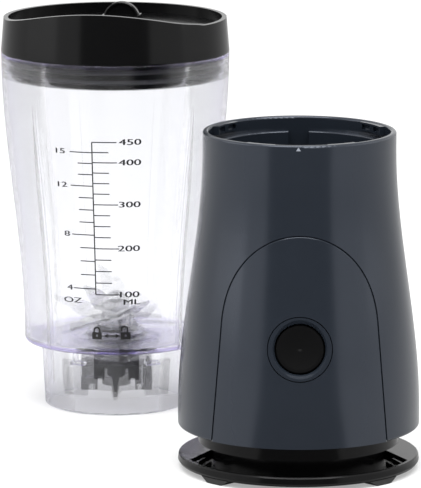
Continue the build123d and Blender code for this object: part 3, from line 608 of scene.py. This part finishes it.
# Rows of ticks: first amount, step, number, lengths and fit. Every fourth is long, from the first.
TICK_ROWS = [(100.0, 25.0, 14, ML_TICKS, ML_FIT), (4.0, 1.0, 11, OZ_TICKS, OZ_FIT),
             (450.0, 25.0, 1, ML_TICKS, ML_FIT), (15.0, 1.0, 1, OZ_TICKS, OZ_FIT)]
ticks, tick_inputs = tick_tree()
scale_parts = []
for first, step, number, (long, short), (base, slope, bend) in TICK_ROWS:
    scale_parts.append(grown(ticks, tick_inputs, {
        "First amount": first, "Step": step, "Count": number, "Long every": 4,
        "Long length": long, "Short length": short,
        "Fit base": base, "Fit slope": slope, "Fit bend": bend}))
lowest, highest = mark_height(ML_FIT, 100), mark_height(ML_FIT, 450)
scale_parts.append(upright_line(SCALE_BEARING, lowest, highest, UPRIGHT))

# Labels: words, bearing, height and size of the letters.
LABELS = [(str(ml), -80.9, mark_height(ML_FIT, ml), 3.7 * MM) for ml in (100, 200, 300, 400, 450)]
LABELS += [(str(oz), -117.0, mark_height(OZ_FIT, oz), 3.3 * MM) for oz in (4, 8)]
LABELS += [(str(oz), -118.7, mark_height(OZ_FIT, oz), 3.3 * MM) for oz in (12, 15)]
LABELS += [("ML", -79.0, 52.7 * MM, 3.4 * MM), ("OZ", -115.6, 53.0 * MM, 3.4 * MM)]
for words, bearing, height, size in LABELS:
    for side in (-LETTER_WEIGHT, LETTER_WEIGHT):        # laid twice, a little apart, for their weight
        flat = text_mesh("label_" + words, words, size, LETTER_STRETCH, INK)
        scale_parts.append(on_jar(flat, bearing + side, height, INK_LIFT))

SYMBOLS = [("lock_closed", padlock(False), -100.3), ("lock_open", padlock(True), -82.6),
           ("lock_arrow", double_arrow(), -91.2)]
for name, outlines, bearing in SYMBOLS:
    flat = outline_mesh(name, in_metres(outlines), INK)
    scale_parts.append(on_jar(flat, bearing, SYMBOLS_AT, INK_LIFT))
scale_print = merged_mesh("jar_scale_print", scale_parts)
add_piece("jar_scale_print", scale_print, "jar", INK_BLACK)


# ---- Mark on the rim of the base ----------------------------------------------------------

def rim_mark():
    """Small triangle on the front of the rim that shows where the jar locks."""
    half, low, high = 1.0 * MM, 140.4 * MM, 141.9 * MM
    radius, aside = 40.3 * MM, -0.8 * MM            # of the rim, and of the mark from its front
    flat = outline_mesh("rim_mark", [[(-half, low), (half, low), (0, high)]], INK)
    for vertex in flat.vertices:
        x, y, z = vertex.co
        angle = -pi / 2 + (x + aside) / radius
        vertex.co = ((radius + INK_LIFT + z) * cos(angle), (radius + INK_LIFT + z) * sin(angle), y)
    return flat


add_piece("rim_mark", merged_mesh("rim_mark", [rim_mark()]), "base", INK_GREY)


# ---- Floor, light and camera --------------------------------------------------------------

def stage_sheet(name, corners, material):
    """Flat sheet of the set."""
    mesh = bpy.data.meshes.new(name)
    mesh.from_pydata(corners, [], [tuple(range(len(corners)))])
    mesh.materials.append(material)
    sheet = bpy.data.objects.new(name, mesh)
    bpy.context.scene.collection.objects.link(sheet)
    return sheet


def paper(name, shade, glow=0.0):
    """Matt studio paper with a fine fibre."""
    colour = (shade, shade, shade)

    def build(m):
        fibre = m.noise(900, 2.0)
        return {
            "Base Color": m.blend(fibre, tinted(colour, 0.99), tinted(colour, 1.01)),
            "Roughness": 0.85,
            "Specular IOR Level": 0.0,
            "Emission Color": opaque((1.0, 1.0, 1.0)),
            "Emission Strength": glow,
        }
    return finish(name, build)


def only_in_gloss(card):
    """Leaves a card of the set visible in reflections only."""
    card.visible_camera = card.visible_diffuse = False
    card.visible_transmission = card.visible_shadow = False


def level_square(half, height):
    """Corners of a level square round the origin."""
    return [(x * half, y * half, height) for x, y in ((-1, -1), (1, -1), (1, 1), (-1, 1))]


FLOOR_HALF, GLOSS_FLOOR_Z, WEDGE_Z = 6.0, 0.0003, 0.0006
stage_sheet("floor", level_square(FLOOR_HALF, 0.0), paper("white_paper", 0.5, 0.36))

# The gloss sees a greyer floor than the eye does.
only_in_gloss(stage_sheet("gloss_floor", level_square(FLOOR_HALF, GLOSS_FLOOR_Z),
                          paper("grey_paper", 0.46)))

# The dark band down the middle of the gloss: a tall card far in front, and a wedge of the same
# paper on the floor that spreads towards it.
BAND = radians(36.5)
CARD_AT, CARD_TOP, WEDGE_FROM = -2.6, 1.2, -0.056
card_half, wedge_half = -CARD_AT * tan(BAND), -WEDGE_FROM * tan(BAND)
dark_paper = paper("dark_paper", 0.1)
card = [(-card_half, CARD_AT, 0), (card_half, CARD_AT, 0),
        (card_half, CARD_AT, CARD_TOP), (-card_half, CARD_AT, CARD_TOP)]
wedge = [(-wedge_half, WEDGE_FROM, WEDGE_Z), (-card_half, CARD_AT, WEDGE_Z),
         (card_half, CARD_AT, WEDGE_Z), (wedge_half, WEDGE_FROM, WEDGE_Z)]
only_in_gloss(stage_sheet("front_card", card, dark_paper))
only_in_gloss(stage_sheet("floor_wedge", wedge, dark_paper))

world = bpy.data.worlds.new("studio")
bpy.context.scene.world = world
world.use_nodes = True
sky = Maker(world.node_tree)
white = sky.node("ShaderNodeBackground", {}, {"Color": opaque((1.0, 1.0, 1.0)), "Strength": 1.0})
sky.node("ShaderNodeOutputWorld", {}, {"Surface": white})


def soft_box(name, place, aim, width, height, power):
    """Rectangular soft light aimed at a point, in watts."""
    lamp = bpy.data.lights.new(name, "AREA")
    lamp.shape, lamp.size, lamp.size_y = "RECTANGLE", width, height
    lamp.energy = power
    holder = bpy.data.objects.new(name, lamp)
    holder.location = place
    holder.rotation_euler = (Vector(aim) - Vector(place)).to_track_quat("-Z", "Y").to_euler()
    bpy.context.scene.collection.objects.link(holder)


soft_box("top_light", (0.0, -0.7, 1.9), (0.0, 0.05, 0.1), 2.0, 1.6, 56.0)
soft_box("left_light", (-2.8, -0.4, 1.1), (0.0, 0.0, 0.1), 2.2, 2.0, 18.0)
soft_box("right_light", (2.8, 0.2, 1.1), (0.0, 0.0, 0.1), 2.2, 2.0, 8.0)

CAMERA_AT, CAMERA_DOWN, CAMERA_ASIDE = (-0.0202, -1.9458, 0.4564), 0.1839, 0.0086
camera_data = bpy.data.cameras.new("front_camera")
camera_data.sensor_fit, camera_data.sensor_width, camera_data.lens = "HORIZONTAL", 36.0, 405.9
camera_data.clip_start, camera_data.clip_end = 0.05, 30.0
camera = bpy.data.objects.new("front_camera", camera_data)
camera.location = CAMERA_AT
camera.rotation_euler = (pi / 2 - CAMERA_DOWN, 0.0, CAMERA_ASIDE)
bpy.context.scene.collection.objects.link(camera)
bpy.context.scene.camera = camera
bpy.context.scene.view_settings.view_transform = "Standard"
